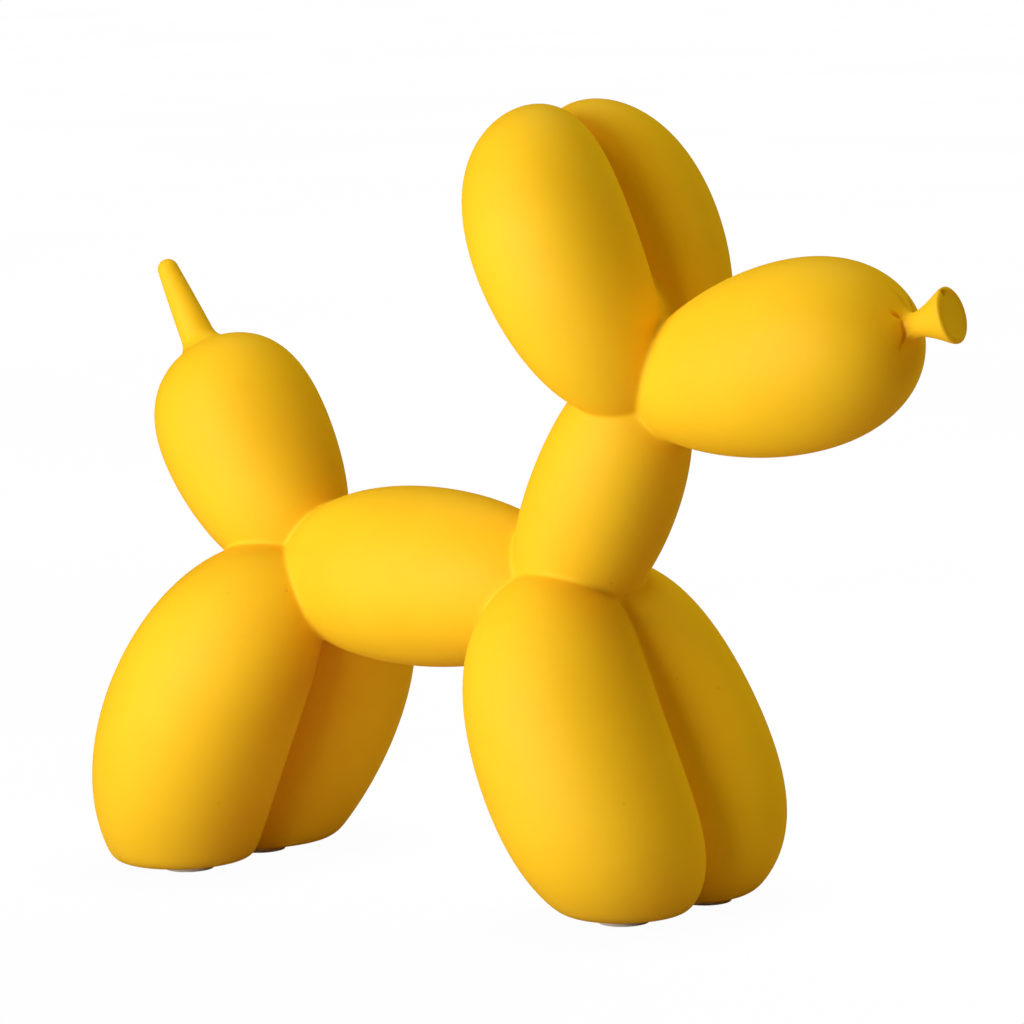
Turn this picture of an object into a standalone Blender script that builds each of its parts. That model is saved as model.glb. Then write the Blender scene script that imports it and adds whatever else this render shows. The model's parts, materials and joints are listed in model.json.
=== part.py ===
"""Balloon dog figure: one casting in the form of a twisted balloon, standing on four stick-on pads.

Metres, +Z up. The dog looks along +X and its left side is +Y. The pads stand on Z = 0, and the
figure's length is centred on X = 0.
"""

from collections import namedtuple
from math import cos, pi, radians, sin, sqrt

import bmesh
import bpy
from mathutils import Matrix, Vector

# Twists, where the balloon is pinched, in the dog's middle plane
HIP_HEIGHT = 0.0625
BODY_SPAN = 0.0659
NECK_SPAN = 0.0464

# How far each bubble reaches back past the twist that it starts from
BODY_BITE = 0.0044
NECK_BITE = 0.0084
HEAD_BITE = 0.0038
RUMP_BITE = 0.0005
EAR_BITE = 0.0039
FRONT_LEG_BITE = 0.0050
HIND_LEG_BITE = 0.0062

# How far the body and the neck reach past the twist that they end at
BODY_REACH = 0.0031
NECK_REACH = 0.0071

# Lengths from a twist to a bubble's free end
HEAD_LENGTH = 0.0630
RUMP_LENGTH = 0.0534
EAR_LENGTH = 0.0606

# Radius of each bubble at its middle
BODY_RADIUS = 0.0183
NECK_RADIUS = 0.0149
HEAD_RADIUS = 0.0182
RUMP_RADIUS = 0.0174
EAR_RADIUS = 0.0161
FRONT_LEG_RADIUS = 0.0194
HIND_LEG_RADIUS = 0.0199

# Pose, as angles in the middle plane from +X up towards +Z
NAPE_RISE = radians(60)
NECK_RISE = radians(63)
HEAD_RISE = radians(13.5)
RUMP_RISE = radians(120.5)
EAR_RISE = radians(113)
FRONT_LEG_RISE = radians(-64)
HIND_LEG_RISE = radians(-117)

# Width over each pair, and half the distance between the pair's centre lines at the twist and at
# the free ends
EARS_WIDTH = 0.0594
FRONT_LEGS_WIDTH = 0.0685
HIND_LEGS_WIDTH = 0.0747
EAR_ROOT_OFFSET = 0.0062
EAR_TIP_OFFSET = 0.0091
FRONT_LEG_ROOT_OFFSET = 0.0056
FRONT_LEG_TIP_OFFSET = 0.0119
HIND_LEG_ROOT_OFFSET = 0.0100
HIND_LEG_TIP_OFFSET = 0.0047

# Tail tip on the rump
TAIL_LENGTH = 0.0201
TAIL_RISE = radians(119)
TAIL_ROOT_RADIUS = 0.0038
TAIL_TIP_RADIUS = 0.0023
TAIL_FULLNESS = 1.2
TAIL_LIFT = 0.0010

# Tied nozzle on the head, turned a little to the dog's left
NOZZLE_LENGTH = 0.0096
NOZZLE_RISE = radians(15.3)
NOZZLE_TURN = radians(7.7)
NOZZLE_NECK_LENGTH = 0.0022
NOZZLE_NECK_RADIUS = 0.0026
NOZZLE_RIM_RADIUS = 0.0055
NOZZLE_RIM_ROUND = 0.0006
NOZZLE_FLARE = 1.3
NOZZLE_DISH = 0.0004
NOZZLE_LIFT = 0.0005
STEM_BITE = 0.0040

# Feet
FOOT_ROUNDING = 0.0028
FRONT_FOOT_TUCK = 0.0019
HIND_FOOT_TUCK = 0.0111

# Pads under the feet, and where each is stuck, ahead and to the left of its sole's middle
PAD_RADIUS = 0.0050
PAD_THICKNESS = 0.0012
PAD_EDGE = 0.0002
PAD_GAP = 0.0003
PAD_SHIFTS = {
    "front_right": (-0.0016, 0.0012),
    "front_left": (0.0005, 0.0017),
    "hind_right": (0.0046, -0.0033),
    "hind_left": (0.0042, -0.0025),
}

# Facets
BUBBLE_RINGS = 17
LEG_RINGS = 23
BUBBLE_SIDES = 28
STEM_SIDES = 20
PAD_SIDES = 40
FLARE_STEPS = 6
SHAFT_STEPS = 4
TIP_STEPS = 4
SOLE_SAMPLES = 60
SEAM_WELD = 0.00004
SAME_POINT = 0.000001

YELLOW = (0.90, 0.52, 0.012, 1.0)
BEIGE = (0.52, 0.43, 0.37, 1.0)

SOLE_HEIGHT = PAD_THICKNESS + PAD_GAP
SIDES = {"right": -1, "left": 1}
CROSSWISE = Vector((0, 1, 0))

# A bubble runs from start to end, and its arch rises square to the angle that it was drawn at.
# Taper is the share by which its end half is fuller than its start half, barrel the share by which
# both ends are fuller than an egg's, and bow how far its middle moves sideways.
Bubble = namedtuple("Bubble", "start end rise radius taper barrel arch bow", defaults=(0,))


def direction(rise):
    """Unit vector in the middle plane at an angle above +X."""
    return Vector((cos(rise), 0, sin(rise)))


def square_to(rise):
    """Unit vector in the middle plane, a quarter turn on from direction(rise)."""
    return direction(rise + pi / 2)


HIP = Vector((0, 0, HIP_HEIGHT))
SHOULDER = HIP + BODY_SPAN * direction(0)
NAPE = SHOULDER + NECK_SPAN * direction(NAPE_RISE)


def out_of(twist, rise, length, bite, **shape):
    """Bubble that bites into its twist and ends a length away from it."""
    along = direction(rise)
    return Bubble(twist - bite * along, twist + length * along, rise, **shape)


BODY = out_of(HIP, 0, BODY_SPAN + BODY_REACH, BODY_BITE,
              radius=BODY_RADIUS, taper=-0.06, barrel=0.09, arch=0.0006)
NECK = out_of(SHOULDER, NECK_RISE, NECK_SPAN + NECK_REACH, NECK_BITE,
              radius=NECK_RADIUS, taper=-0.01, barrel=0.09, arch=-0.0010)
HEAD = out_of(NAPE, HEAD_RISE, HEAD_LENGTH, HEAD_BITE,
              radius=HEAD_RADIUS, taper=0.20, barrel=0.04, arch=0.0002)
RUMP = out_of(HIP, RUMP_RISE, RUMP_LENGTH, RUMP_BITE,
              radius=RUMP_RADIUS, taper=0.14, barrel=0.19, arch=0.0007)


def one_of_pair(bubble, side, width, root_offset, tip_offset):
    """The same bubble with its ends moved sideways and its middle bowed out to the pair's width."""
    bow = width / 2 - bubble.radius - (root_offset + tip_offset) / 2
    return bubble._replace(start=bubble.start + side * root_offset * CROSSWISE,
                           end=bubble.end + side * tip_offset * CROSSWISE,
                           bow=side * bow)


def ear(side):
    middle = out_of(NAPE, EAR_RISE, EAR_LENGTH, EAR_BITE,
                    radius=EAR_RADIUS, taper=0.08, barrel=0.17, arch=-0.0007)
    return one_of_pair(middle, side, EARS_WIDTH, EAR_ROOT_OFFSET, EAR_TIP_OFFSET)


def leg_length(twist, rise, tuck):
    """From a twist to a leg's end, which a flat foot keeps from reaching the tuck below the sole."""
    return (twist.z - SOLE_HEIGHT + tuck) / -direction(rise).z


def front_leg(side):
    length = leg_length(SHOULDER, FRONT_LEG_RISE, FRONT_FOOT_TUCK)
    middle = out_of(SHOULDER, FRONT_LEG_RISE, length, FRONT_LEG_BITE,
                    radius=FRONT_LEG_RADIUS, taper=0.02, barrel=0.30, arch=-0.0009)
    return one_of_pair(middle, side, FRONT_LEGS_WIDTH,
                       FRONT_LEG_ROOT_OFFSET, FRONT_LEG_TIP_OFFSET)


def hind_leg(side):
    length = leg_length(HIP, HIND_LEG_RISE, HIND_FOOT_TUCK)
    middle = out_of(HIP, HIND_LEG_RISE, length, HIND_LEG_BITE,
                    radius=HIND_LEG_RADIUS, taper=-0.01, barrel=0.19, arch=-0.0013)
    return one_of_pair(middle, side, HIND_LEGS_WIDTH,
                       HIND_LEG_ROOT_OFFSET, HIND_LEG_TIP_OFFSET)


def on_bubble(bubble, ball_point):
    """Where a point of the unit ball goes when the ball's Z axis is drawn out into a bubble."""
    half = (bubble.end - bubble.start) / 2
    along = half.normalized()
    side = along.cross(square_to(bubble.rise)).normalized()
    up = side.cross(along)
    s = ball_point.z
    girth = bubble.radius * (1 + bubble.taper * s + bubble.barrel * s * s)
    middle = (bubble.start + bubble.end) / 2 + s * half
    sway = (1 - s * s) * (bubble.arch * square_to(bubble.rise) + bubble.bow * CROSSWISE)
    return middle + sway + girth * (ball_point.x * up + ball_point.y * side)


def pressed(height):
    """Height of a foot's surface, flat at the sole and rounded into the leg above it."""
    over = height - SOLE_HEIGHT + FOOT_ROUNDING
    if over <= 0:
        return SOLE_HEIGHT
    if over >= 2 * FOOT_ROUNDING:
        return height
    return SOLE_HEIGHT + over * over / (4 * FOOT_ROUNDING)


def bubble_mesh(bubble, rings=BUBBLE_RINGS):
    form = bmesh.new()
    bmesh.ops.create_uvsphere(form, u_segments=BUBBLE_SIDES, v_segments=rings, radius=1)
    for vert in form.verts:
        vert.co = on_bubble(bubble, vert.co)
    return form


def leg_mesh(bubble):
    """Bubble pressed flat at the sole."""
    form = bubble_mesh(bubble, LEG_RINGS)
    for vert in form.verts:
        vert.co.z = pressed(vert.co.z)
    return form


def turned_mesh(profile, base, along):
    """Solid turned from (distance along, radius) pairs, the first and last of them on its axis."""
    form = bmesh.new()
    outward = along.orthogonal().normalized()
    points = [base + s * along + r * outward for s, r in profile]
    verts = [form.verts.new(point) for point in points]
    edges = [form.edges.new(pair) for pair in zip(verts, verts[1:])]
    bmesh.ops.spin(form, geom=verts + edges, cent=base, axis=along, angle=2 * pi,
                   steps=STEM_SIDES, use_merge=True)
    bmesh.ops.remove_doubles(form, verts=form.verts, dist=SAME_POINT)
    return form


def tail_mesh():
    """Tapered finger with a round tip, standing in the rump's end."""
    shaft = TAIL_LENGTH - TAIL_TIP_RADIUS
    profile = [(-STEM_BITE, 0), (-STEM_BITE, TAIL_ROOT_RADIUS)]
    for step in range(SHAFT_STEPS):
        share = step / SHAFT_STEPS
        thinning = (TAIL_ROOT_RADIUS - TAIL_TIP_RADIUS) * share ** TAIL_FULLNESS
        profile.append((shaft * share, TAIL_ROOT_RADIUS - thinning))
    for step in range(TIP_STEPS + 1):
        turn = pi / 2 * step / TIP_STEPS
        profile.append((shaft + TAIL_TIP_RADIUS * sin(turn), TAIL_TIP_RADIUS * cos(turn)))
    base = RUMP.end + TAIL_LIFT * square_to(RUMP_RISE)
    return turned_mesh(profile, base, direction(TAIL_RISE))


def nozzle_mesh():
    """Stem that flares to a round rim and a shallow dished face, standing in the head's end."""
    widest = NOZZLE_LENGTH - NOZZLE_RIM_ROUND
    profile = [(-STEM_BITE, 0), (-STEM_BITE, NOZZLE_NECK_RADIUS)]
    for step in range(FLARE_STEPS + 1):
        share = step / FLARE_STEPS
        distance = NOZZLE_NECK_LENGTH + (widest - NOZZLE_NECK_LENGTH) * share
        swell = (NOZZLE_RIM_RADIUS - NOZZLE_NECK_RADIUS) * share ** NOZZLE_FLARE
        profile.append((distance, NOZZLE_NECK_RADIUS + swell))
    profile.append((NOZZLE_LENGTH, NOZZLE_RIM_RADIUS - NOZZLE_RIM_ROUND))
    profile.append((NOZZLE_LENGTH - NOZZLE_DISH, NOZZLE_RIM_RADIUS - 2 * NOZZLE_RIM_ROUND))
    profile.append((NOZZLE_LENGTH - NOZZLE_DISH, 0))
    base = HEAD.end + NOZZLE_LIFT * square_to(HEAD_RISE)
    along = direction(NOZZLE_RISE)
    along.rotate(Matrix.Rotation(NOZZLE_TURN, 3, "Z"))
    return turned_mesh(profile, base, along)


def sole_middle(bubble):
    """Middle of a leg's sole on Z = 0, from the part of the bubble that the sole cuts off."""
    below = []
    for ring in range(1, SOLE_SAMPLES):
        s = ring / SOLE_SAMPLES
        rim = sqrt(1 - s * s)
        for step in range(SOLE_SAMPLES):
            turn = 2 * pi * step / SOLE_SAMPLES
            point = on_bubble(bubble, Vector((rim * cos(turn), rim * sin(turn), s)))
            if point.z < SOLE_HEIGHT:
                below.append(point)
    xs = [point.x for point in below]
    ys = [point.y for point in below]
    return Vector(((min(xs) + max(xs)) / 2, (min(ys) + max(ys)) / 2, 0))


def paint(name, colour, roughness):
    material = bpy.data.materials.new(name)
    material.use_nodes = True
    shader = material.node_tree.nodes["Principled BSDF"]
    shader.inputs["Base Color"].default_value = colour
    shader.inputs["Roughness"].default_value = roughness
    shader.inputs["Metallic"].default_value = 0
    material.diffuse_color = colour
    return material


def add_object(name, form, material=None):
    """Object from a bmesh, its faces turned outwards and shaded smooth."""
    bmesh.ops.recalc_face_normals(form, faces=form.faces)
    mesh = bpy.data.meshes.new(name)
    form.to_mesh(mesh)
    form.free()
    mesh.shade_smooth()
    if material:
        mesh.materials.append(material)
    thing = bpy.data.objects.new(name, mesh)
    bpy.context.collection.objects.link(thing)
    return thing


def add_figure(forms):
    """One casting: the body, with every other form united with it."""
    figure = add_object("balloon_dog", forms.pop("body"), paint("yellow_coating", YELLOW, 0.6))
    others = bpy.data.collections.new("forms")
    bpy.context.scene.collection.children.link(others)
    for name, form in forms.items():
        other = add_object(name, form)
        other.hide_render = True
        other.display_type = "WIRE"
        bpy.context.collection.objects.unlink(other)
        others.objects.link(other)
    union = figure.modifiers.new("one_casting", "BOOLEAN")
    union.operation = "UNION"
    union.solver = "EXACT"
    union.operand_type = "COLLECTION"
    union.collection = others
    weld = figure.modifiers.new("close_seams", "WELD")
    weld.merge_threshold = SEAM_WELD


def add_pad(name, middle, material):
    """Stick-on pad: a disc with eased edges, just short of the sole."""
    form = bmesh.new()
    place = Matrix.Translation(middle + Vector((0, 0, PAD_THICKNESS / 2)))
    bmesh.ops.create_cone(form, cap_ends=True, segments=PAD_SIDES, radius1=PAD_RADIUS,
                          radius2=PAD_RADIUS, depth=PAD_THICKNESS, matrix=place)
    rims = [edge for edge in form.edges if edge.verts[0].co.z == edge.verts[1].co.z]
    bmesh.ops.bevel(form, geom=rims, offset=PAD_EDGE, segments=1, affect="EDGES")
    add_object(name, form, material)


def main():
    for thing in list(bpy.data.objects):
        bpy.data.objects.remove(thing)

    forms = {
        "body": bubble_mesh(BODY),
        "neck": bubble_mesh(NECK),
        "head": bubble_mesh(HEAD),
        "rump": bubble_mesh(RUMP),
        "tail": tail_mesh(),
        "nozzle": nozzle_mesh(),
    }
    pads = {}
    for word, side in SIDES.items():
        forms["ear_" + word] = bubble_mesh(ear(side))
        legs = {"front_" + word: front_leg(side), "hind_" + word: hind_leg(side)}
        for name, bubble in legs.items():
            forms["leg_" + name] = leg_mesh(bubble)
            pads["pad_" + name] = sole_middle(bubble) + Vector((*PAD_SHIFTS[name], 0))

    xs = [vert.co.x for form in forms.values() for vert in form.verts]
    centre = bpy.data.objects.new("figure_centre", None)
    centre.location.x = -(min(xs) + max(xs)) / 2
    bpy.context.collection.objects.link(centre)

    rubber = paint("pad_foam", BEIGE, 0.8)
    add_figure(forms)
    for name, place in pads.items():
        add_pad(name, place, rubber)
    for thing in bpy.data.objects:
        if thing != centre:
            thing.parent = centre


main()
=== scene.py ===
"""Looks of the balloon dog figure: its casting, the stick-on pads under its feet, and the stage."""

import json
from collections import namedtuple
from math import cos, pi, radians, sin

import bpy
import numpy as np
from mathutils import Matrix, Vector

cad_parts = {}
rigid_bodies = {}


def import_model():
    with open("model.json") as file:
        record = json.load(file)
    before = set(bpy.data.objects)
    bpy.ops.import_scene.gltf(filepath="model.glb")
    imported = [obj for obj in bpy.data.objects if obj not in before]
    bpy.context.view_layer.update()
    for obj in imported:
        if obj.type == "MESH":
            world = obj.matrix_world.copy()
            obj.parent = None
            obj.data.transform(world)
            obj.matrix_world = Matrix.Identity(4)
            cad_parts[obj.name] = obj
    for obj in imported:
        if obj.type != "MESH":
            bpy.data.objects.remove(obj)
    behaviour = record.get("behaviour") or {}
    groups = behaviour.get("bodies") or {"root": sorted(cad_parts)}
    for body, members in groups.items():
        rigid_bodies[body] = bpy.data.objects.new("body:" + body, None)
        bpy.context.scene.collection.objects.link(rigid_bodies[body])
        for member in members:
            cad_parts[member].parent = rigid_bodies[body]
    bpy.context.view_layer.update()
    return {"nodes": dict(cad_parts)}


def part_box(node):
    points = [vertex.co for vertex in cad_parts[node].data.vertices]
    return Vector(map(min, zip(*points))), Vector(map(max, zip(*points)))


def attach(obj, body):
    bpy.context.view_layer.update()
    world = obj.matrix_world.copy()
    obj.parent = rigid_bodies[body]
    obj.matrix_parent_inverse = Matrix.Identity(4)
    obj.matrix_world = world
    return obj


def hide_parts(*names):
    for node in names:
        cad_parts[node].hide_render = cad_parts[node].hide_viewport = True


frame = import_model()

bl_info = {
    "name": "Balloon dog figure",
    "version": (1, 0, 0),
    "blender": (4, 5, 0),
    "location": "View3D > Sidebar > Balloon dog",
    "description": "Builds the looks of a cast balloon dog figure around its packed model",
    "category": "Object",
}

# Twists and bubbles, as in the part's source, in metres and radians
HIP = np.array((-0.057857, 0, 0.0625))
BODY_SPAN = 0.0659
NECK_SPAN = 0.0464
NAPE_RISE = radians(60)
NECK_RISE = radians(63)
HEAD_LENGTH = 0.0630
HEAD_RISE = radians(13.5)
RUMP_LENGTH = 0.0534
RUMP_RISE = radians(120.5)
EAR_LENGTH = 0.0606
EAR_RISE = radians(113)
FRONT_LEG_RISE = radians(-64)
HIND_LEG_RISE = radians(-117)
EARS_WIDTH = 0.0594
FRONT_LEGS_WIDTH = 0.0685
HIND_LEGS_WIDTH = 0.0747

# How far each bubble starts before its twist, and how far body and neck go past the next one
HEAD_BITE = 0.0038
RUMP_BITE = 0.0005
BODY_BITE = 0.0044
NECK_BITE = 0.0084
EAR_BITE = 0.0039
FRONT_LEG_BITE = 0.0050
HIND_LEG_BITE = 0.0062
BODY_REACH = 0.0031
NECK_REACH = 0.0071

# How far the root and the tip of a paired bubble stand off the middle plane
EAR_OFFSETS = (0.0062, 0.0091)
FRONT_LEG_OFFSETS = (0.0056, 0.0119)
HIND_LEG_OFFSETS = (0.0100, 0.0047)

# Tail tip and tied nozzle
TAIL_LENGTH = 0.0201
TAIL_RISE = radians(119)
TAIL_ROOT_RADIUS = 0.0038
TAIL_TIP_RADIUS = 0.0023
TAIL_FULLNESS = 1.2
TAIL_LIFT = 0.0010
NOZZLE_LENGTH = 0.0096
NOZZLE_RISE = radians(15.3)
NOZZLE_TURN = radians(7.7)
NOZZLE_NECK_LENGTH = 0.0022
NOZZLE_NECK_RADIUS = 0.0026
NOZZLE_RIM_RADIUS = 0.0055
NOZZLE_RIM_ROUND = 0.0006
NOZZLE_FLARE = 1.3
NOZZLE_LIFT = 0.0005
STEM_BITE = 0.0040

# Feet
SOLE_HEIGHT = 0.0015
FOOT_ROUNDING = 0.0028
FRONT_FOOT_TUCK = 0.0019
HIND_FOOT_TUCK = 0.0111

# Merging distance for vertices that coincide
WELD_REACH = 0.000001

SIDES = {"right": -1, "left": 1}
CROSSWISE = np.array((0.0, 1.0, 0.0))

# A distance past the whole figure, a divisor's guard, and the flattest slope that settling trusts
FAR = 1.0
TINY = 1e-9
LEAST_SLOPE = 0.05

# Room round a form in which its skin can still blend with its neighbours'
BUBBLE_MARGIN = 0.003
TIP_MARGIN = 0.006

# Clay stage: how far round the nozzle the mesh is refined, and the stem's widening to its middle
REFINED_REACH = 0.013
CLAY_STEM_WIDENING = 1.3

Bubble = namedtuple("Bubble", "start end rise radius taper barrel arch bow", defaults=(0,))

# A pucker is a groove that the tied knot gathers round the nozzle's stem. Its path is a row of
# (turn, away) places: turn in degrees from the side that faces up, towards the dog's right, and
# away in metres from the nozzle's middle line.
Pucker = namedtuple("Pucker", "path width depth")
PUCKERS = (
    Pucker(((-28, 0.0038), (-19, 0.0045), (-13, 0.0057), (-8, 0.0069), (-6, 0.0082)),
           0.00035, 0.00028),
    Pucker(((-56, 0.0050), (-50, 0.0061), (-42, 0.0072)), 0.00045, 0.00060),
    Pucker(((38, 0.0025), (41, 0.0033), (45, 0.0045)), 0.00040, 0.00085),
    Pucker(((55, 0.0020), (92, 0.0018), (127, 0.0020), (136, 0.0029), (136, 0.0040),
            (138, 0.0048)), 0.00040, 0.00080),
    Pucker(((251, 0.0028), (257, 0.0046), (255, 0.0069)), 0.00040, 0.00050),
    Pucker(((306, 0.0040), (300, 0.0054)), 0.00035, 0.00060),
)

# Share of a pucker's depth that is left at its ends, and how far up the stem the puckers reach
PUCKER_END_SHARE = 0.4
STEM_FREE = 0.0010
STEM_FADE = 0.6 * STEM_FREE

# Where the knot's gather is fullest, and how its share falls off round the stem
GATHER_TURN = radians(40)
GATHER_START = -0.3
GATHER_SPAN = 1.1

# The gather lets the stem start farther to the dog's left than it ends
ROOT_SHIFT = 0.0012
ROOT_REACH = 0.0035

# A dent in the nozzle's rim, where the tube was torn off: its turn is measured as a pucker's is
DENT_TURN = radians(20)
DENT_AWAY = 0.0046
DENT_WIDTH = 0.0005
DENT_DEPTH = 0.0016

# What the rounding of the rim takes off its radius and its face, as shares of its reach, and the
# share of the face that is flat
RIM_ALLOWANCE = 0.22
FACE_ALLOWANCE = 0.1
DISH_FLAT = 0.78

# Colours that the settings don't carry
BLACK = (0.0, 0.0, 0.0, 1.0)
DUST_COLOUR = (1.0, 0.72, 0.10, 1.0)
# Painted shade: a dark brown laid into the tiny pits of the coating, standing in for the shade
# inside them
PIT_SHADE_COLOUR = (0.35, 0.16, 0.005, 1.0)
FOAM_SPECK_COLOUR = (0.08, 0.06, 0.05, 1.0)

# The card as the lamps and the figure see it: what it reflects, and its painted bounce light, a dim
# orange-brown glow onto the undersides in place of a white floor's bounce
CARD_REFLECTION = (0.35, 0.35, 0.35, 1.0)
PAINTED_BOUNCE_GLOW = (0.205, 0.097, 0.0, 1.0)

# Lamps: disc's width and distance in metres, turn from the camera's azimuth, height and colour
Lamp = namedtuple("Lamp", "size distance turn height colour")
LAMPS = {
    "key": Lamp(0.5, 0.5, radians(-50), radians(5), (0.87, 1.0, 0.95)),
    "brow": Lamp(0.5, 1.5, radians(-60), radians(45), (1.0, 0.63, 0.22)),
    "front": Lamp(0.8, 1.5, radians(60), radians(41), (0.98, 1.0, 0.05)),
    "side": Lamp(0.5, 1.5, radians(110), radians(25), (0.98, 1.0, 0.13)),
    "back": Lamp(0.8, 1.5, radians(180), radians(65), (0.83, 1.0, 0.32)),
}
LAMP_TARGET = (0, 0, 0.08)


class CastingSettings(bpy.types.PropertyGroup):
    crease: bpy.props.FloatProperty(
        name="Crease rounding", description="Reach of the fillet where two bubbles meet",
        default=0.0010, min=0.0003, max=0.004, unit="LENGTH", precision=5)
    ears_crease: bpy.props.FloatProperty(
        name="Ears rounding", description="Reach of the web that fills the valley between the ears",
        default=0.0050, min=0.0003, max=0.012, unit="LENGTH", precision=5)
    ears_crease_top: bpy.props.FloatProperty(
        name="Ears rounding top", description="Height over the nape at which the web has run out",
        default=0.024, min=0.005, max=0.06, unit="LENGTH", precision=5)
    tail_crease: bpy.props.FloatProperty(
        name="Tail rounding", description="Reach of the fillet round the tail tip",
        default=0.0030, min=0.0003, max=0.006, unit="LENGTH", precision=5)
    stem_crease: bpy.props.FloatProperty(
        name="Stem rounding", description="Reach of the fillet below the nozzle's stem",
        default=0.0006, min=0.0003, max=0.004, unit="LENGTH", precision=5)
    stem_gather: bpy.props.FloatProperty(
        name="Stem gather", description="Further reach of the fillet on the stem's upper right",
        default=0.0012, min=0, max=0.006, unit="LENGTH", precision=5)
    rim_rounding: bpy.props.FloatProperty(
        name="Rim rounding", description="Reach of the rounding over the nozzle's rim",
        default=0.0018, min=0.0003, max=0.004, unit="LENGTH", precision=5)
    dish_depth: bpy.props.FloatProperty(
        name="Dish depth", description="Depth of the hollow in the nozzle's face",
        default=0.00035, min=0, max=0.002, unit="LENGTH", precision=5)
    inside: bpy.props.FloatProperty(
        name="Inside", description="How far the skin lies inside the part's ideal bubbles",
        default=0.00010, min=0, max=0.0005, unit="LENGTH", precision=5)
    voxel: bpy.props.FloatProperty(
        name="Clay grain", description="Voxel size at which the bubbles are united",
        default=0.00045, min=0.0002, max=0.002, unit="LENGTH", precision=5)
    triangles: bpy.props.IntProperty(
        name="Triangles", description="Number of triangles in the finished casting",
        default=190000, min=20000, max=199000)


class CoatingSettings(bpy.types.PropertyGroup):
    yellow: bpy.props.FloatVectorProperty(
        name="Yellow", description="Colour of the casting's matte coating",
        default=(0.93, 0.52, 0.014), size=3, min=0, max=1, subtype="COLOR")
    deep_yellow: bpy.props.FloatVectorProperty(
        name="Deep yellow", description="Colour where the coating lies a little thicker",
        default=(0.92, 0.50, 0.012), size=3, min=0, max=1, subtype="COLOR")
    roughness: bpy.props.FloatProperty(
        name="Roughness", description="Roughness of the coating",
        default=0.62, min=0, max=1, subtype="FACTOR")
    grain: bpy.props.FloatProperty(
        name="Grain size", description="Distance between grains of the coating",
        default=0.0005, min=0.0001, max=0.005, unit="LENGTH", precision=5)


class PadSettings(bpy.types.PropertyGroup):
    beige: bpy.props.FloatVectorProperty(
        name="Beige", description="Colour of the pads",
        default=(0.95, 0.76, 0.66), size=3, min=0, max=1, subtype="COLOR")
    film: bpy.props.FloatProperty(
        name="Film inset", description="How far the adhesive film stands back from the pad's edge",
        default=0.00015, min=0, max=0.001, unit="LENGTH", precision=5)
    edge: bpy.props.FloatProperty(
        name="Edge rounding", description="Rounding of the pad's edges",
        default=0.00025, min=0.00005, max=0.0005, unit="LENGTH", precision=5)


class StageSettings(bpy.types.PropertyGroup):
    azimuth: bpy.props.FloatProperty(
        name="Azimuth", description="Camera's angle round the figure",
        default=radians(38.909), subtype="ANGLE")
    elevation: bpy.props.FloatProperty(
        name="Elevation", description="Camera's angle above the floor",
        default=radians(7.427), subtype="ANGLE")
    roll: bpy.props.FloatProperty(
        name="Roll", description="Turn of the camera about its line of sight",
        default=radians(-1.775), subtype="ANGLE")
    distance: bpy.props.FloatProperty(
        name="Distance", description="Camera's distance from the point that it looks at",
        default=1.0003, min=0.3, max=5, unit="LENGTH")
    target: bpy.props.FloatVectorProperty(
        name="Target", description="Point that the camera looks at",
        default=(-0.00405, 0, 0.07755), size=3, subtype="TRANSLATION")
    lens: bpy.props.FloatProperty(
        name="Lens", description="Focal length in millimetres on a 36 mm sensor",
        default=176.5, min=20, max=400)
    key_power: bpy.props.FloatProperty(
        name="Key light", description="Power of the near lamp on the camera's left, in watts",
        default=3.75, min=0)
    brow_power: bpy.props.FloatProperty(
        name="Brow light", description="Power of the lamp high on the camera's left, in watts",
        default=5.5, min=0)
    front_power: bpy.props.FloatProperty(
        name="Front light", description="Power of the lamp ahead of the dog, in watts",
        default=3.6, min=0)
    side_power: bpy.props.FloatProperty(
        name="Side light", description="Power of the lamp on the camera's right, in watts",
        default=3.7, min=0)
    back_power: bpy.props.FloatProperty(
        name="Back light", description="Power of the lamp above and behind, in watts",
        default=8.6, min=0)
    floor: bpy.props.FloatVectorProperty(
        name="Floor", description="Colour of the open floor",
        default=(1.0, 1.0, 1.0), size=3, min=0, max=1, subtype="COLOR")
    # Painted shadow: the card shows the camera this colour where ambient occlusion finds the figure
    # close, in place of a shadow cast by the lamps
    shade: bpy.props.FloatVectorProperty(
        name="Shade", description="Colour of the floor right under the figure",
        default=(0.97, 0.97, 0.97), size=3, min=0, max=1, subtype="COLOR")
    shade_reach: bpy.props.FloatProperty(
        name="Shade reach", description="How far from the floor the figure still shades it",
        default=0.02, min=0, unit="LENGTH")


class FigureSettings(bpy.types.PropertyGroup):
    casting: bpy.props.PointerProperty(type=CastingSettings)
    coating: bpy.props.PointerProperty(type=CoatingSettings)
    pads: bpy.props.PointerProperty(type=PadSettings)
    stage: bpy.props.PointerProperty(type=StageSettings)


def direction(rise):
    """Unit vector in the dog's middle plane at an angle above +X."""
    return np.array((cos(rise), 0, sin(rise)))


def square_to(rise):
    """Unit vector in the middle plane, a quarter turn on from direction(rise)."""
    return direction(rise + pi / 2)


SHOULDER = HIP + BODY_SPAN * direction(0)
NAPE = SHOULDER + NECK_SPAN * direction(NAPE_RISE)


def out_of(twist, rise, length, bite, **shape):
    """Bubble that bites into its twist and ends a length away from it."""
    along = direction(rise)
    return Bubble(twist - bite * along, twist + length * along, rise, **shape)


def one_of_pair(bubble, side, width, root_offset, tip_offset):
    """The same bubble with its ends moved sideways and its middle bowed out to the pair's width."""
    bow = width / 2 - bubble.radius - (root_offset + tip_offset) / 2
    return bubble._replace(start=bubble.start + side * root_offset * CROSSWISE,
                           end=bubble.end + side * tip_offset * CROSSWISE,
                           bow=side * bow)


def leg_length(twist, rise, tuck):
    """From a twist to a leg's end, which lies a tuck below the sole that cuts the foot flat."""
    return (twist[2] - SOLE_HEIGHT + tuck) / -direction(rise)[2]


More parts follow.
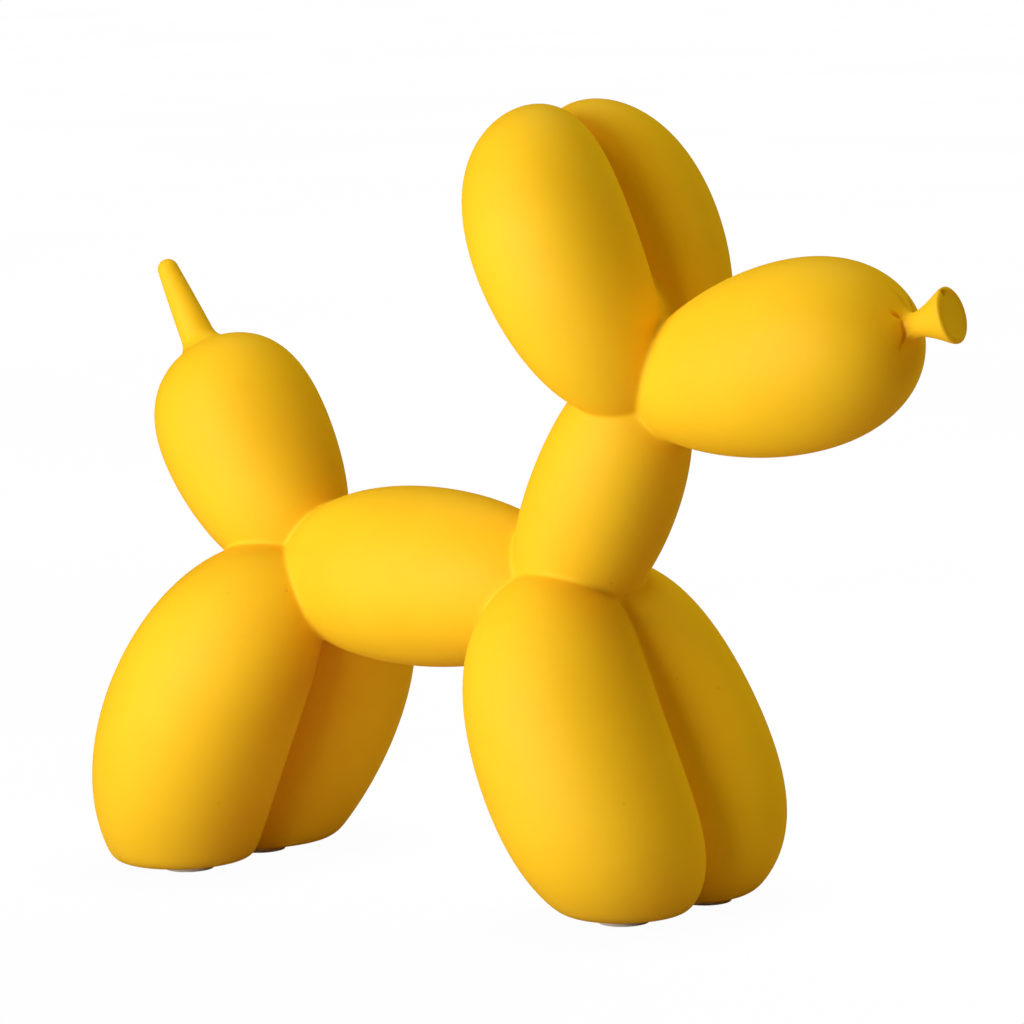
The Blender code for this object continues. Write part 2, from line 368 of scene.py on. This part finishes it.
HEAD = out_of(NAPE, HEAD_RISE, HEAD_LENGTH, HEAD_BITE,
              radius=0.0182, taper=0.20, barrel=0.04, arch=0.0002)
RUMP = out_of(HIP, RUMP_RISE, RUMP_LENGTH, RUMP_BITE,
              radius=0.0174, taper=0.14, barrel=0.19, arch=0.0007)


def figure_bubbles():
    """Every bubble of the dog by name, the head first."""
    bubbles = {
        "head": HEAD,
        "rump": RUMP,
        "body": out_of(HIP, 0, BODY_SPAN + BODY_REACH, BODY_BITE,
                       radius=0.0183, taper=-0.06, barrel=0.09, arch=0.0006),
        "neck": out_of(SHOULDER, NECK_RISE, NECK_SPAN + NECK_REACH, NECK_BITE,
                       radius=0.0149, taper=-0.01, barrel=0.09, arch=-0.0010),
    }
    ear = out_of(NAPE, EAR_RISE, EAR_LENGTH, EAR_BITE,
                 radius=0.0161, taper=0.08, barrel=0.17, arch=-0.0007)
    front_leg = out_of(SHOULDER, FRONT_LEG_RISE,
                       leg_length(SHOULDER, FRONT_LEG_RISE, FRONT_FOOT_TUCK), FRONT_LEG_BITE,
                       radius=0.0194, taper=0.02, barrel=0.30, arch=-0.0009)
    hind_leg = out_of(HIP, HIND_LEG_RISE,
                      leg_length(HIP, HIND_LEG_RISE, HIND_FOOT_TUCK), HIND_LEG_BITE,
                      radius=0.0199, taper=-0.01, barrel=0.19, arch=-0.0013)
    for word, side in SIDES.items():
        bubbles["ear_" + word] = one_of_pair(ear, side, EARS_WIDTH, *EAR_OFFSETS)
        bubbles["front_leg_" + word] = one_of_pair(front_leg, side, FRONT_LEGS_WIDTH,
                                                   *FRONT_LEG_OFFSETS)
        bubbles["hind_leg_" + word] = one_of_pair(hind_leg, side, HIND_LEGS_WIDTH,
                                                  *HIND_LEG_OFFSETS)
    return bubbles


TAIL_BASE = RUMP.end + TAIL_LIFT * square_to(RUMP_RISE)
NOZZLE_BASE = HEAD.end + NOZZLE_LIFT * square_to(HEAD_RISE)
NOZZLE_AXIS = np.array((cos(NOZZLE_RISE) * cos(NOZZLE_TURN),
                        cos(NOZZLE_RISE) * sin(NOZZLE_TURN), sin(NOZZLE_RISE)))


def eased(share):
    """Smooth step from 0 to 1."""
    share = np.clip(share, 0, 1)
    return share * share * (3 - 2 * share)


def dots(vectors, others):
    return np.einsum("ij,ij->i", vectors, others)


def scaled(vectors, factors):
    return vectors * factors[:, None]


def bubble_skin(points, bubble):
    """Distance of points outside a bubble's skin, and the direction in which it grows."""
    half = (bubble.end - bubble.start) / 2
    length = np.linalg.norm(half)
    along = half / length
    sway = bubble.arch * square_to(bubble.rise) + bubble.bow * CROSSWISE
    drift = sway @ along
    place = points - (bubble.start + bubble.end) / 2
    level = place @ along
    s = level / length
    for _ in range(4):
        s = np.clip((level - (1 - s * s) * drift) / length, -1.2, 1.2)
    out = place - s[:, None] * half - (1 - s * s)[:, None] * sway
    girth = bubble.radius * (1 + bubble.taper * s + bubble.barrel * s * s)
    widening = bubble.radius * (bubble.taper + 2 * bubble.barrel * s)
    fullness = dots(out, out) / girth ** 2
    value = fullness + s * s - 1
    growth = 4 * s * (out @ sway) / girth ** 2 - 2 * fullness * widening / girth + 2 * s
    slope = scaled(out, 2 / girth ** 2) + np.outer(growth / (length - 2 * s * drift), along)
    size = np.sqrt(dots(slope, slope))
    return value / size, scaled(slope, 1 / size)


def turned_skin(points, base, axis, radius_at, widening_at, reach):
    """The same for a stem turned about an axis, with a round end where its reach stops."""
    place = points - base
    level = np.clip(place @ axis, *reach)
    out = place - np.outer(level, axis)
    away = np.sqrt(dots(out, out)) + TINY
    lean = widening_at(level)
    slope = scaled(out, 1 / away) - np.outer(lean, axis)
    size = np.sqrt(1 + lean ** 2)
    return (away - radius_at(level)) / size, scaled(slope, 1 / size)


def tail_skin(points):
    """Tapered finger with a round tip."""
    shaft = TAIL_LENGTH - TAIL_TIP_RADIUS
    thinning = TAIL_ROOT_RADIUS - TAIL_TIP_RADIUS

    def share(s):
        return np.clip(s / shaft, 0, 1)

    return turned_skin(
        points, TAIL_BASE, direction(TAIL_RISE),
        lambda s: TAIL_ROOT_RADIUS - thinning * share(s) ** TAIL_FULLNESS,
        lambda s: -thinning * TAIL_FULLNESS * share(s) ** (TAIL_FULLNESS - 1) / shaft,
        (-STEM_BITE, shaft))


def nozzle_skin(points, casting):
    """Stem that flares to a rounded rim round a dished face, with a dent at the face's edge."""
    swell = NOZZLE_RIM_RADIUS + RIM_ALLOWANCE * casting.rim_rounding - NOZZLE_NECK_RADIUS
    flare = NOZZLE_LENGTH - NOZZLE_RIM_ROUND - NOZZLE_NECK_LENGTH

    def share(s):
        return np.clip((s - NOZZLE_NECK_LENGTH) / flare, 0, 1)

    start = 1 - eased((points - NOZZLE_BASE) @ NOZZLE_AXIS / ROOT_REACH)
    wall, wall_slope = turned_skin(
        points - np.outer(ROOT_SHIFT * start, CROSSWISE), NOZZLE_BASE, NOZZLE_AXIS,
        lambda s: NOZZLE_NECK_RADIUS + swell * share(s) ** NOZZLE_FLARE,
        lambda s: swell * NOZZLE_FLARE * share(s) ** (NOZZLE_FLARE - 1) / flare * (share(s) < 1),
        (-STEM_BITE, FAR))
    place = points - NOZZLE_BASE
    level = place @ NOZZLE_AXIS - NOZZLE_LENGTH - FACE_ALLOWANCE * casting.rim_rounding
    out = place - np.outer(place @ NOZZLE_AXIS, NOZZLE_AXIS)
    away = np.sqrt(dots(out, out)) / (NOZZLE_RIM_RADIUS - NOZZLE_RIM_ROUND)
    dish = casting.dish_depth * (1 - eased((away - DISH_FLAT) / (1 - DISH_FLAT)))
    up = square_to(NOZZLE_RISE)
    dent = DENT_AWAY * (cos(DENT_TURN) * up - sin(DENT_TURN) * CROSSWISE) - out
    dish = dish + DENT_DEPTH * np.exp(-dots(dent, dent) / DENT_WIDTH ** 2)
    face_slope = np.tile(NOZZLE_AXIS, (len(points), 1))
    depth, slope = blended(-wall, -wall_slope, -(level + dish), -face_slope, casting.rim_rounding)
    return -depth, -slope


def pucker_depth(points):
    """How deep the grooves round the nozzle cut into the skin."""
    place = points - NOZZLE_BASE
    spot = np.stack((place @ square_to(HEAD_RISE), place @ -CROSSWISE), axis=1)
    depth = np.zeros(len(points))
    for pucker in PUCKERS:
        path = [away * np.array((cos(radians(turn)), sin(radians(turn))))
                for turn, away in pucker.path]
        nearest = np.full(len(points), FAR)
        run = np.zeros(len(points))
        for step, (near, far) in enumerate(zip(path, path[1:])):
            line = far - near
            share = np.clip((spot - near) @ line / (line @ line), 0, 1)
            beside = np.linalg.norm(spot - near - np.outer(share, line), axis=1)
            closer = beside < nearest
            nearest[closer] = beside[closer]
            run[closer] = (step + share[closer]) / (len(path) - 1)
        fade = PUCKER_END_SHARE + (1 - PUCKER_END_SHARE) * np.sin(pi * run)
        depth += fade * pucker.depth * np.exp(-(nearest / pucker.width) ** 2)
    return depth * eased((STEM_FREE - place @ NOZZLE_AXIS) / STEM_FADE)


def gathered(points):
    """Share of the knot's gather at points round the nozzle: 1 on its upper right, 0 below it."""
    place = points - NOZZLE_BASE
    out = place - np.outer(place @ NOZZLE_AXIS, NOZZLE_AXIS)
    facing = out @ (cos(GATHER_TURN) * square_to(NOZZLE_RISE) - sin(GATHER_TURN) * CROSSWISE)
    return eased((facing / (np.sqrt(dots(out, out)) + TINY) - GATHER_START) / GATHER_SPAN)


def blended(a, a_slope, b, b_slope, reach):
    """Smooth union of two skins, and the way that it grows."""
    share = np.clip(0.5 + 0.5 * (b - a) / reach, 0, 1)
    skin = share * a + (1 - share) * b - reach * share * (1 - share)
    return skin, scaled(a_slope, share) + scaled(b_slope, 1 - share)


def near_bubble(points, bubble, margin):
    """Which points lie in a bubble's box, widened by a margin."""
    corners = np.array((bubble.start, bubble.end))
    room = bubble.radius * (1 + abs(bubble.taper) + abs(bubble.barrel)) + abs(bubble.bow) + margin
    return np.all((points > corners.min(0) - room) & (points < corners.max(0) + room), axis=1)


def casting_skin(points, casting):
    """Skin of the whole casting without its flat soles."""
    skin = np.full(len(points), FAR)
    slope = np.zeros((len(points), 3))

    def unite(here, form_skin, form_slope, reach):
        skin[here], slope[here] = blended(skin[here], slope[here], form_skin, form_slope, reach)

    bubbles = figure_bubbles()
    for name in sorted(bubbles, key=lambda name: not name.startswith("ear")):
        bubble = bubbles[name]
        here = near_bubble(points, bubble, BUBBLE_MARGIN)
        reach = casting.crease
        if name == "ear_left":
            over = (points[here] - NAPE) @ direction(EAR_RISE) / casting.ears_crease_top
            # The web is whole up to half its height and has run out at its top
            reach = reach + (casting.ears_crease - reach) * eased(2 - 2 * over)
        unite(here, *bubble_skin(points[here], bubble), reach)
    here = np.linalg.norm(points - TAIL_BASE, axis=1) < TAIL_LENGTH + TIP_MARGIN
    unite(here, *tail_skin(points[here]), casting.tail_crease)
    here = np.linalg.norm(points - NOZZLE_BASE, axis=1) < NOZZLE_LENGTH + TIP_MARGIN
    unite(here, *nozzle_skin(points[here], casting),
          casting.stem_crease + casting.stem_gather * gathered(points[here]))
    skin[here] += pucker_depth(points[here])
    return skin + casting.inside, slope


def mesh_points(mesh):
    points = np.empty(len(mesh.vertices) * 3, np.float32)
    mesh.vertices.foreach_get("co", points)
    return points.reshape(-1, 3).astype(float)


def set_mesh_points(mesh, points):
    mesh.vertices.foreach_set("co", points.astype(np.float32).ravel())
    mesh.update()


def settle(mesh, casting, rounds=3):
    """Draws every vertex onto the casting's skin."""
    points = mesh_points(mesh)
    for _ in range(rounds):
        skin, slope = casting_skin(points, casting)
        size = np.maximum(dots(slope, slope), LEAST_SLOPE)
        step = np.clip(skin / size, -casting.voxel, casting.voxel)
        points -= scaled(slope, step)
    set_mesh_points(mesh, points)


def press_feet(mesh):
    """Flattens the feet at the sole's height, with a soft edge into the leg."""
    points = mesh_points(mesh)
    over = points[:, 2] - SOLE_HEIGHT + FOOT_ROUNDING
    soft = (over > 0) & (over < 2 * FOOT_ROUNDING)
    points[soft, 2] = SOLE_HEIGHT + over[soft] ** 2 / (4 * FOOT_ROUNDING)
    points[over <= 0, 2] = SOLE_HEIGHT
    set_mesh_points(mesh, points)


def only(thing):
    """Selects one object alone and makes it the active one."""
    bpy.ops.object.select_all(action="DESELECT")
    thing.select_set(True)
    bpy.context.view_layer.objects.active = thing


def finish_modifier(thing, kind, **values):
    """Adds a modifier to an object and applies it."""
    only(thing)
    modifier = thing.modifiers.new(kind.lower(), kind)
    for name, value in values.items():
        setattr(modifier, name, value)
    bpy.ops.object.modifier_apply(modifier=modifier.name)


def add_bubble(bubble):
    """A ball drawn out into a bubble."""
    bpy.ops.mesh.primitive_uv_sphere_add(segments=64, ring_count=48, radius=1)
    ball = bpy.context.object
    half = (bubble.end - bubble.start) / 2
    along = half / np.linalg.norm(half)
    up = square_to(bubble.rise)
    side = np.cross(along, up)
    points = mesh_points(ball.data)
    s = points[:, 2]
    girth = bubble.radius * (1 + bubble.taper * s + bubble.barrel * s * s)
    sway = bubble.arch * up + bubble.bow * CROSSWISE
    drawn = (bubble.start + bubble.end) / 2 + np.outer(s, half) + np.outer(1 - s * s, sway)
    drawn += np.outer(girth * points[:, 0], up) + np.outer(girth * points[:, 1], side)
    set_mesh_points(ball.data, drawn)
    return ball


def add_cone(base, axis, near, far, root_radius, tip_radius):
    """A closed cone between two distances along an axis."""
    bpy.ops.mesh.primitive_cone_add(vertices=64, radius1=root_radius, radius2=tip_radius,
                                    depth=far - near, location=base + (near + far) / 2 * axis,
                                    rotation=Vector(axis).to_track_quat("Z", "Y").to_euler())
    return bpy.context.object


def refine(mesh, middle, reach):
    """Halves the faces near a point, where the finest creases are."""
    faces = np.array([face.center for face in mesh.polygons])
    near = np.linalg.norm(faces - middle, axis=1) < reach
    mesh.polygons.foreach_set("select", near)
    bpy.ops.object.mode_set(mode="EDIT")
    bpy.ops.mesh.select_mode(type="FACE")
    bpy.ops.mesh.subdivide(number_cuts=1)
    bpy.ops.object.mode_set(mode="OBJECT")


def keep_outer_shell(figure):
    """Deletes the small shells that the remesh leaves apart from the outer one."""
    only(figure)
    bpy.ops.object.mode_set(mode="EDIT")
    bpy.ops.mesh.select_mode(type="VERT")
    bpy.ops.mesh.select_all(action="DESELECT")
    bpy.ops.object.mode_set(mode="OBJECT")
    highest = int(np.argmax(mesh_points(figure.data)[:, 2]))
    figure.data.vertices[highest].select = True
    bpy.ops.object.mode_set(mode="EDIT")
    bpy.ops.mesh.select_linked()
    bpy.ops.mesh.select_all(action="INVERT")
    bpy.ops.mesh.delete(type="VERT")
    bpy.ops.object.mode_set(mode="OBJECT")


def add_casting(settings):
    """The dog in one piece: rough forms are united as clay, then drawn onto the smooth skin."""
    casting = settings.casting
    forms = [add_bubble(bubble) for bubble in figure_bubbles().values()]
    forms += [
        add_cone(TAIL_BASE, direction(TAIL_RISE), -STEM_BITE, TAIL_LENGTH,
                 TAIL_ROOT_RADIUS, TAIL_TIP_RADIUS),
        add_cone(NOZZLE_BASE, NOZZLE_AXIS, -STEM_BITE, NOZZLE_LENGTH / 2,
                 NOZZLE_NECK_RADIUS, NOZZLE_NECK_RADIUS * CLAY_STEM_WIDENING),
        add_cone(NOZZLE_BASE, NOZZLE_AXIS, NOZZLE_LENGTH / 4, NOZZLE_LENGTH,
                 NOZZLE_NECK_RADIUS, NOZZLE_RIM_RADIUS),
    ]
    bpy.ops.object.select_all(action="DESELECT")
    for form in forms:
        form.select_set(True)
    bpy.context.view_layer.objects.active = forms[0]
    bpy.ops.object.join()
    figure = bpy.context.object
    figure.name = figure.data.name = "dog_casting"
    bpy.ops.object.transform_apply(location=True, rotation=True, scale=True)
    finish_modifier(figure, "REMESH", mode="VOXEL", voxel_size=casting.voxel)
    keep_outer_shell(figure)
    settle(figure.data, casting)
    finish_modifier(figure, "SMOOTH", factor=0.5, iterations=4)
    refine(figure.data, NOZZLE_BASE, REFINED_REACH)
    settle(figure.data, casting)
    faces = sum(len(face.vertices) - 2 for face in figure.data.polygons)
    if faces > casting.triangles:
        finish_modifier(figure, "DECIMATE", ratio=casting.triangles / faces)
        settle(figure.data, casting, rounds=2)
    press_feet(figure.data)
    only(figure)
    bpy.ops.object.shade_smooth()
    figure.data.materials.clear()
    figure.data.materials.append(coating_material(settings.coating))
    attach(figure, "root")
    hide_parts("balloon_dog")


def add_pads(settings):
    """A disc with rounded edges under each foot, and the adhesive film between it and the sole."""
    material = pad_material(settings.pads)
    for name in sorted(frame["nodes"]):
        if not name.startswith("pad_"):
            continue
        low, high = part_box(name)
        middle = (low + high) / 2
        radius = (high.x - low.x) / 2
        bpy.ops.object.select_all(action="DESELECT")
        bpy.ops.mesh.primitive_cylinder_add(vertices=96, radius=radius, depth=high.z - low.z,
                                            location=middle)
        pad = bpy.context.object
        bpy.ops.object.mode_set(mode="EDIT")
        bpy.ops.mesh.select_mode(type="FACE")
        bpy.ops.mesh.select_all(action="DESELECT")
        bpy.ops.object.mode_set(mode="OBJECT")
        top = max(pad.data.polygons, key=lambda face: face.center.z)
        top.select = True
        bpy.ops.object.mode_set(mode="EDIT")
        bpy.ops.mesh.inset(thickness=settings.pads.film)
        bpy.ops.mesh.extrude_region_move(
            TRANSFORM_OT_translate={"value": (0, 0, SOLE_HEIGHT - high.z)})
        bpy.ops.object.mode_set(mode="OBJECT")
        pad.name = pad.data.name = name.replace("pad_", "foam_pad_")
        only(pad)
        bpy.ops.object.transform_apply(location=True, rotation=True, scale=True)
        finish_modifier(pad, "BEVEL", width=settings.pads.edge, segments=3,
                        limit_method="ANGLE", angle_limit=radians(50))
        # The film's ledge is narrower than the rounding, so rings of the bevel meet there
        finish_modifier(pad, "WELD", merge_threshold=WELD_REACH)
        bpy.ops.object.shade_smooth_by_angle(angle=radians(35))
        pad.data.materials.append(material)
        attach(pad, "root")
        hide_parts(name)


class NodeMaker:
    """Adds nodes to a tree and joins them to the sockets that feed them."""

    def __init__(self, tree):
        self.tree = tree

    def add(self, kind, values=None, **settings):
        node = self.tree.nodes.new(kind)
        for name, value in settings.items():
            setattr(node, name, value)
        for name, value in (values or {}).items():
            self.feed(node.inputs[name], value)
        return node

    def feed(self, socket, value):
        """Joins another node's socket to this one, or sets its value."""
        if isinstance(value, bpy.types.NodeSocket):
            self.tree.links.new(value, socket)
        else:
            socket.default_value = value

    def maths(self, operation, a, b):
        node = self.add("ShaderNodeMath", {0: a, 1: b}, operation=operation)
        return node.outputs[0]

    def spread(self, value, low, high, to_low=0.0, to_high=1.0):
        """Maps a value from one range to another, clamped."""
        node = self.add("ShaderNodeMapRange", {"Value": value, "From Min": low, "From Max": high,
                                               "To Min": to_low, "To Max": to_high})
        return node.outputs["Result"]

    def mixed(self, share, a, b):
        """Mixes two colours, whose sockets on a Mix node are inputs 6 and 7 and output 2."""
        node = self.add("ShaderNodeMix", data_type="RGBA")
        for index, value in ((0, share), (6, a), (7, b)):
            self.feed(node.inputs[index], value)
        return node.outputs[2]


def new_group(name, inputs, outputs):
    """Node group with named sockets; inputs are (name, socket type, default)."""
    group = bpy.data.node_groups.new(name, "ShaderNodeTree")
    for label, kind, default in inputs:
        socket = group.interface.new_socket(label, in_out="INPUT", socket_type=kind)
        if default is not None:
            socket.default_value = default
    for label, kind in outputs:
        group.interface.new_socket(label, in_out="OUTPUT", socket_type=kind)
    maker = NodeMaker(group)
    source = group.nodes.new("NodeGroupInput")
    return group, maker, source


def close_group(maker, **values):
    """Joins a group's finished values to its outputs, whose names have their spaces as _."""
    end = maker.tree.nodes.new("NodeGroupOutput")
    for name, value in values.items():
        maker.tree.links.new(value, end.inputs[name.replace("_", " ")])


def grain_group():
    """Fine grain of a sprayed or foamed surface, its broad clouds and its rare specks."""
    if "fine_grain" in bpy.data.node_groups:
        return bpy.data.node_groups["fine_grain"]
    group, maker, source = new_group(
        "fine_grain",
        [("Place", "NodeSocketVector", None), ("Frequency", "NodeSocketFloat", 2000.0),
         ("Clouds", "NodeSocketFloat", 60.0)],
        [("Height", "NodeSocketFloat"), ("Cloud", "NodeSocketFloat"),
         ("Speck", "NodeSocketFloat")])
    place, frequency, clouds = source.outputs[0], source.outputs[1], source.outputs[2]
    fine = maker.add("ShaderNodeTexNoise", {"Vector": place, "Scale": frequency,
                                            "Detail": 2.0, "Roughness": 0.6})
    cloud = maker.add("ShaderNodeTexNoise", {"Vector": place, "Scale": clouds,
                                             "Detail": 3.0, "Roughness": 0.55})
    cells = maker.add("ShaderNodeTexVoronoi", {"Vector": place, "Scale": maker.maths(
        "MULTIPLY", frequency, 0.12)}, feature="F1")
    rare = maker.add("ShaderNodeSeparateColor", {"Color": cells.outputs["Color"]})
    chosen = maker.maths("GREATER_THAN", rare.outputs[0], 0.96)
    dot = maker.spread(cells.outputs["Distance"], 0.05, 0.09, 1.0, 0.0)
    close_group(maker, Height=fine.outputs[0], Cloud=cloud.outputs[0],
                Speck=maker.maths("MULTIPLY", dot, chosen))
    return group


def new_material(name):
    material = bpy.data.materials.new(name)
    material.use_nodes = True
    tree = material.node_tree
    shader = tree.nodes["Principled BSDF"]
    maker = NodeMaker(tree)
    place = maker.add("ShaderNodeTexCoord").outputs["Object"]
    return material, maker, shader, place


def solid(colour):
    return (*colour, 1.0)


def coating_material(coating):
    """Matte soft-touch coating: fine grain, faint clouds of thicker paint and a few tiny pits,
    bumped in and darkened with painted shade.
    """
    material, maker, shader, place = new_material("matte_yellow_coating")
    grain = maker.add("ShaderNodeGroup", node_tree=grain_group())
    maker.tree.links.new(place, grain.inputs["Place"])
    grain.inputs["Frequency"].default_value = 1 / coating.grain
    grain.inputs["Clouds"].default_value = 70
    cloud = maker.spread(grain.outputs["Cloud"], 0.35, 0.65)
    colour = maker.mixed(cloud, solid(coating.yellow), solid(coating.deep_yellow))
    dust = maker.spread(grain.outputs["Height"], 0.3, 0.7, 0.0, 0.02)
    colour = maker.mixed(dust, colour, DUST_COLOUR)
    # Painted shade in the pits: the speck mask mixes the dark brown into the coating where the pits
    # are bumped in
    pit_shade_share = maker.maths("MULTIPLY", grain.outputs["Speck"], 0.22)
    colour = maker.mixed(pit_shade_share, colour, PIT_SHADE_COLOUR)
    maker.tree.links.new(colour, shader.inputs["Base Color"])
    rough = maker.spread(grain.outputs["Height"], 0.3, 0.7,
                         coating.roughness - 0.05, coating.roughness + 0.05)
    maker.tree.links.new(rough, shader.inputs["Roughness"])
    height = maker.maths("SUBTRACT", grain.outputs["Height"], grain.outputs["Speck"])
    bump = maker.add("ShaderNodeBump", {"Height": height, "Strength": 0.2, "Distance": 0.00004})
    maker.tree.links.new(bump.outputs["Normal"], shader.inputs["Normal"])
    shader.inputs["Specular IOR Level"].default_value = 0.2
    return material


def pad_material(pads):
    """Beige foam with fine open cells and a rare dark speck."""
    material, maker, shader, place = new_material("beige_pad_foam")
    grain = maker.add("ShaderNodeGroup", node_tree=grain_group())
    maker.tree.links.new(place, grain.inputs["Place"])
    grain.inputs["Frequency"].default_value = 4000
    grain.inputs["Clouds"].default_value = 300
    light = solid(pads.beige)
    dark = solid(channel * 0.75 for channel in pads.beige)
    colour = maker.mixed(maker.spread(grain.outputs["Height"], 0.3, 0.7), light, dark)
    colour = maker.mixed(grain.outputs["Speck"], colour, FOAM_SPECK_COLOUR)
    maker.tree.links.new(colour, shader.inputs["Base Color"])
    rough = maker.spread(grain.outputs["Cloud"], 0.3, 0.7, 0.75, 0.9)
    maker.tree.links.new(rough, shader.inputs["Roughness"])
    bump = maker.add("ShaderNodeBump", {"Height": grain.outputs["Height"], "Strength": 0.4,
                                        "Distance": 0.0001})
    maker.tree.links.new(bump.outputs["Normal"], shader.inputs["Normal"])
    return material


def floor_material(stage):
    """Plain pale card, lit evenly for the camera by its own glow, with a painted contact shadow
    where the figure stands close to it; towards the figure it reflects grey and sends a painted
    bounce glow.
    """
    material, maker, shader, place = new_material("pale_card")
    seen = maker.add("ShaderNodeLightPath").outputs["Is Camera Ray"]
    openness = maker.add("ShaderNodeAmbientOcclusion", {"Distance": stage.shade_reach}, samples=16)
    cloud = maker.add("ShaderNodeTexNoise", {"Vector": place, "Scale": 3.0, "Detail": 2.0})
    open_card = maker.mixed(maker.spread(cloud.outputs[0], 0.3, 0.7), solid(stage.floor),
                            solid(channel * 0.99 for channel in stage.floor))
    openness = maker.spread(openness.outputs["AO"], 0.0, 1.0)
    # Painted contact shadow: for the camera the card's glow fades from the open card to the shade
    # colour where ambient occlusion finds the figure close
    card = maker.mixed(openness, solid(stage.shade), open_card)
    # Painted bounce light: the card glows dim orange-brown onto the figure, faded to black as
    # painted shade where ambient occlusion finds the figure close
    painted_bounce = maker.mixed(openness, BLACK, PAINTED_BOUNCE_GLOW)
    maker.tree.links.new(maker.mixed(seen, CARD_REFLECTION, BLACK), shader.inputs["Base Color"])
    maker.tree.links.new(maker.mixed(seen, painted_bounce, card), shader.inputs["Emission Color"])
    shader.inputs["Emission Strength"].default_value = 1.0
    shader.inputs["Roughness"].default_value = 0.9
    shader.inputs["Specular IOR Level"].default_value = 0.0
    return material


def frame_axes(azimuth, elevation, roll=0.0):
    """Right, up and back of something that looks at the figure from an angle."""
    back = Vector((sin(azimuth) * cos(elevation), -cos(azimuth) * cos(elevation), sin(elevation)))
    level = Vector((cos(azimuth), sin(azimuth), 0))
    rise = back.cross(level)
    right = cos(roll) * level + sin(roll) * rise
    up = cos(roll) * rise - sin(roll) * level
    return right, up, back


def place_facing(thing, target, distance, azimuth, elevation, roll=0.0):
    """Puts a camera or lamp at a distance from a point, looking at it."""
    right, up, back = frame_axes(azimuth, elevation, roll)
    turn = Matrix((right, up, back)).transposed().to_4x4()
    thing.matrix_world = Matrix.Translation(Vector(target) + distance * back) @ turn


def add_lamp(name, power, azimuth):
    """A soft round lamp from the table, turned about the figure with the camera."""
    kind = LAMPS[name]
    lamp = bpy.data.lights.new(name, "AREA")
    lamp.shape = "DISK"
    lamp.energy = power
    lamp.size = kind.size
    lamp.color = kind.colour
    thing = bpy.data.objects.new(name, lamp)
    bpy.context.scene.collection.objects.link(thing)
    thing.visible_camera = False
    place_facing(thing, LAMP_TARGET, kind.distance, azimuth + kind.turn, kind.height)


def add_stage(settings):
    """Pale floor, soft light and the camera."""
    stage = settings.stage
    bpy.ops.object.select_all(action="DESELECT")
    bpy.ops.mesh.primitive_plane_add(size=60)
    floor = bpy.context.object
    floor.name = floor.data.name = "pale_floor"
    floor.data.materials.append(floor_material(stage))

    world = bpy.data.worlds.new("studio")
    bpy.context.scene.world = world
    world.use_nodes = True
    sky = world.node_tree.nodes["Background"]
    sky.inputs["Color"].default_value = (1, 1, 1, 1)
    seen = world.node_tree.nodes.new("ShaderNodeLightPath").outputs["Is Camera Ray"]
    world.node_tree.links.new(seen, sky.inputs["Strength"])

    for name in LAMPS:
        add_lamp(name, getattr(stage, name + "_power"), stage.azimuth)

    lens = bpy.data.cameras.new("camera")
    lens.lens = stage.lens
    lens.sensor_width = 36
    lens.clip_start = 0.01
    lens.clip_end = 100
    camera = bpy.data.objects.new("camera", lens)
    bpy.context.scene.collection.objects.link(camera)
    place_facing(camera, stage.target, stage.distance, stage.azimuth, stage.elevation, stage.roll)
    bpy.context.scene.camera = camera
    bpy.context.scene.view_settings.view_transform = "Standard"


class FIGURE_OT_add_casting(bpy.types.Operator):
    """Build the dog's casting"""

    bl_idname = "balloon_dog.add_casting"
    bl_label = "Add casting"
    bl_options = {"REGISTER", "UNDO"}

    def execute(self, context):
        add_casting(context.scene.balloon_dog)
        return {"FINISHED"}


class FIGURE_OT_add_pads(bpy.types.Operator):
    """Build the stick-on pads under the feet"""

    bl_idname = "balloon_dog.add_pads"
    bl_label = "Add pads"
    bl_options = {"REGISTER", "UNDO"}

    def execute(self, context):
        add_pads(context.scene.balloon_dog)
        return {"FINISHED"}


class FIGURE_OT_add_stage(bpy.types.Operator):
    """Build the floor, the lights and the camera"""

    bl_idname = "balloon_dog.add_stage"
    bl_label = "Add stage"
    bl_options = {"REGISTER", "UNDO"}

    def execute(self, context):
        add_stage(context.scene.balloon_dog)
        return {"FINISHED"}


OPERATORS = (FIGURE_OT_add_casting, FIGURE_OT_add_pads, FIGURE_OT_add_stage)


class FIGURE_PT_sidebar(bpy.types.Panel):
    """Sizes, colours and build steps of the figure"""

    bl_idname = "FIGURE_PT_sidebar"
    bl_label = "Balloon dog"
    bl_space_type = "VIEW_3D"
    bl_region_type = "UI"
    bl_category = "Balloon dog"

    def draw(self, context):
        settings = context.scene.balloon_dog
        for label, group in (("Casting", settings.casting), ("Coating", settings.coating),
                             ("Pads", settings.pads), ("Stage", settings.stage)):
            box = self.layout.box()
            box.label(text=label)
            for name in group.__annotations__:
                box.prop(group, name)
        for operator in OPERATORS:
            self.layout.operator(operator.bl_idname)


CLASSES = (CastingSettings, CoatingSettings, PadSettings, StageSettings, FigureSettings,
           *OPERATORS, FIGURE_PT_sidebar)


def register():
    for cls in CLASSES:
        bpy.utils.register_class(cls)
    bpy.types.Scene.balloon_dog = bpy.props.PointerProperty(type=FigureSettings)


def unregister():
    del bpy.types.Scene.balloon_dog
    for cls in reversed(CLASSES):
        bpy.utils.unregister_class(cls)


def main():
    register()
    bpy.ops.balloon_dog.add_casting()
    bpy.ops.balloon_dog.add_pads()
    bpy.ops.balloon_dog.add_stage()


if __name__ == "__main__":
    main()
